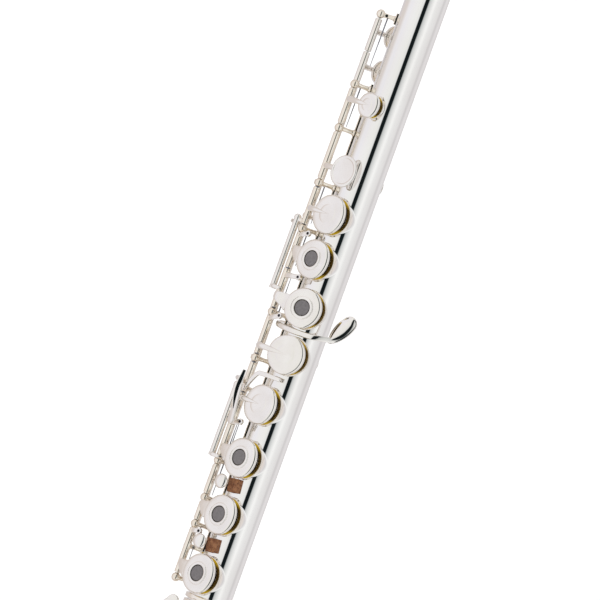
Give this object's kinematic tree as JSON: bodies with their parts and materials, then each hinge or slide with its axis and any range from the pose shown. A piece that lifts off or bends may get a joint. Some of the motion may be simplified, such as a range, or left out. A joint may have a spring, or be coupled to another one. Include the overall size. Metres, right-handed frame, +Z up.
{
  "type": "concert flute",
  "caption": "Concert flute with open-hole cups, offset G keys, split E and a C foot; the head slides, the foot turns, and the keys, crown and roller move.",
  "frame": {"origin": "middle of the crown's flat end face, on the tube's axis", "axes": "+X along the tube towards the foot, +Y away from the player, +Z up through the main cups"},
  "size_m": [0.648, 0.0478, 0.0407],
  "materials": {
    "silver": "polished silver plate",
    "steel": "ground steel",
    "pad": "satin skin over felt",
    "cork": "matt cork",
    "plug": "matt"
  },
  "bodies": {
    "body": {"body_tube": "silver", "barrel": "silver", "main_rib": "silver", "thumb_rib": "silver", "g_sharp_rib": "silver", "main_steel": "steel", "thumb_steel": "steel", "d_trill_cork": "cork", "d_sharp_trill_cork": "cork"},
    "head": {"head_tube": "silver", "lip_plate": "silver", "riser": "silver"},
    "crown": {"crown": "silver"},
    "stopper": {"stopper_screw": "silver", "stopper_cork": "cork"},
    "foot": {"foot_tube": "silver", "foot_rib": "silver"},
    "b_key": {"b_key": "silver", "b_pad": "pad"},
    "a_key": {"a_key": "silver", "a_pad": "pad", "a_plug": "plug"},
    "g_key": {"g_key": "silver", "g_pad": "pad", "g_plug": "plug"},
    "lower_g_key": {"lower_g_key": "silver", "lower_g_pad": "pad"},
    "f_sharp_key": {"f_sharp_key": "silver", "f_sharp_pad": "pad"},
    "f_key": {"f_key": "silver", "f_pad": "pad", "f_plug": "plug"},
    "e_key": {"e_key": "silver", "e_pad": "pad", "e_plug": "plug", "split_e_arm": "silver"},
    "d_key": {"d_key": "silver", "d_pad": "pad", "d_plug": "plug"},
    "c_sharp_key": {"c_sharp_key": "silver", "c_sharp_pad": "pad"},
    "d_trill_key": {"d_trill_key": "silver", "d_trill_pad": "pad"},
    "d_sharp_trill_key": {"d_sharp_trill_key": "silver", "d_sharp_trill_pad": "pad"},
    "thumb_b_key": {"thumb_b_key": "silver", "thumb_b_pad": "pad"},
    "thumb_b_flat_lever": {"thumb_b_flat_lever": "silver"},
    "g_sharp_key": {"g_sharp_key": "silver", "g_sharp_pad": "pad"},
    "b_flat_side_lever": {"b_flat_side_lever": "silver"},
    "e_flat_key": {"e_flat_key": "silver", "e_flat_pad": "pad"},
    "low_c_sharp_key": {"low_c_sharp_key": "silver", "low_c_sharp_pad": "pad"},
    "low_c_key": {"low_c_key": "silver", "low_c_pad": "pad"},
    "low_c_roller": {"low_c_roller": "silver"}
  },
  "joints": [
    {"name": "head_slide", "type": "slide", "parent": "body", "child": "head", "axis": [-1, 0, 0], "range_m": [0, 0.012]},
    {"name": "crown_turn", "type": "hinge", "parent": "head", "child": "crown", "pos_m": [0, 0, 0], "axis": [1, 0, 0], "range_deg": [-360, 360]},
    {"name": "stopper_slide", "type": "slide", "parent": "head", "child": "stopper", "axis": [1, 0, 0], "range_m": [-0.00075, 0.00075]},
    {"name": "foot_turn", "type": "hinge", "parent": "body", "child": "foot", "pos_m": [0.5245, 0, 0], "axis": [1, 0, 0], "range_deg": [-15, 15]},
    {"name": "a_press", "type": "hinge", "parent": "body", "child": "a_key", "pos_m": [0.3592, -0.0142, 0.0113], "axis": [-1, 0, 0], "range_deg": [0, 6.5]},
    {"name": "g_press", "type": "hinge", "parent": "body", "child": "g_key", "pos_m": [0.3817, -0.0142, 0.0113], "axis": [-1, 0, 0], "range_deg": [0, 6.5]},
    {"name": "f_press", "type": "hinge", "parent": "body", "child": "f_key", "pos_m": [0.4555, -0.0142, 0.0113], "axis": [-1, 0, 0], "range_deg": [0, 6.5]},
    {"name": "e_press", "type": "hinge", "parent": "body", "child": "e_key", "pos_m": [0.483, -0.0142, 0.0113], "axis": [-1, 0, 0], "range_deg": [0, 6.5]},
    {"name": "d_press", "type": "hinge", "parent": "body", "child": "d_key", "pos_m": [0.5116, -0.0142, 0.0113], "axis": [-1, 0, 0], "range_deg": [0, 6.5]},
    {"name": "b_press", "type": "hinge", "parent": "body", "child": "b_key", "pos_m": [0.3375, -0.0142, 0.0113], "axis": [-1, 0, 0], "range_deg": [0, 6.5]},
    {"name": "lower_g_press", "type": "hinge", "parent": "body", "child": "lower_g_key", "pos_m": [0.4043, -0.0142, 0.0113], "axis": [-1, 0, 0], "range_deg": [0, 6.5]},
    {"name": "f_sharp_press", "type": "hinge", "parent": "body", "child": "f_sharp_key", "pos_m": [0.4296, -0.0142, 0.0113], "axis": [-1, 0, 0], "range_deg": [0, 6.5]},
    {"name": "c_sharp_press", "type": "hinge", "parent": "body", "child": "c_sharp_key", "pos_m": [0.2845, -0.0142, 0.0113], "axis": [-1, 0, 0], "range_deg": [0, 6.5]},
    {"name": "d_trill_press", "type": "hinge", "parent": "body", "child": "d_trill_key", "pos_m": [0.2678, -0.0162, 0.0078], "axis": [-1, 0, 0], "range_deg": [0, 6]},
    {"name": "d_sharp_trill_press", "type": "hinge", "parent": "body", "child": "d_sharp_trill_key", "pos_m": [0.2509, -0.0162, 0.0078], "axis": [-1, 0, 0], "range_deg": [0, 6]},
    {"name": "thumb_b_press", "type": "hinge", "parent": "body", "child": "thumb_b_key", "pos_m": [0.3179, -0.01557, -0.00821], "axis": [1, 0, 0], "range_deg": [0, 6.5]},
    {"name": "thumb_b_flat_lever_press", "type": "hinge", "parent": "body", "child": "thumb_b_flat_lever", "pos_m": [0.3, -0.01557, -0.00821], "axis": [1, 0, 0], "range_deg": [0, 4]},
    {"name": "g_sharp_press", "type": "hinge", "parent": "body", "child": "g_sharp_key", "pos_m": [0.4043, -0.01557, -0.00821], "axis": [-1, 0, 0], "range_deg": [0, 6.5]},
    {"name": "b_flat_side_lever_press", "type": "hinge", "parent": "body", "child": "b_flat_side_lever", "pos_m": [0.42, -0.019, 0.0042], "axis": [-1, 0, 0], "range_deg": [0, 3]},
    {"name": "e_flat_press", "type": "hinge", "parent": "foot", "child": "e_flat_key", "pos_m": [0.5427, -0.00948, 0.01547], "axis": [1, 0, 0], "range_deg": [0, 7]},
    {"name": "low_c_sharp_press", "type": "hinge", "parent": "foot", "child": "low_c_sharp_key", "pos_m": [0.5757, -0.00948, 0.01547], "axis": [-1, 0, 0], "range_deg": [0, 6.5]},
    {"name": "low_c_press", "type": "hinge", "parent": "foot", "child": "low_c_key", "pos_m": [0.6106, -0.00948, 0.01547], "axis": [-1, 0, 0], "range_deg": [0, 6.5]},
    {"name": "roller_spin", "type": "hinge", "parent": "low_c_key", "child": "low_c_roller", "pos_m": [0.5598, 0.00023, 0.01736], "axis": [1, 0, 0], "continuous": true}
  ],
  "couplings": [
    {"joint": "stopper_slide", "follows": "crown_turn", "m_per_rad": 0.00011141},
    {"joint": "b_press", "follows": "a_press", "ratio": 1},
    {"joint": "lower_g_press", "follows": "g_press", "ratio": 1},
    {"joint": "f_sharp_press", "follows": "f_press", "ratio": 1}
  ]
}
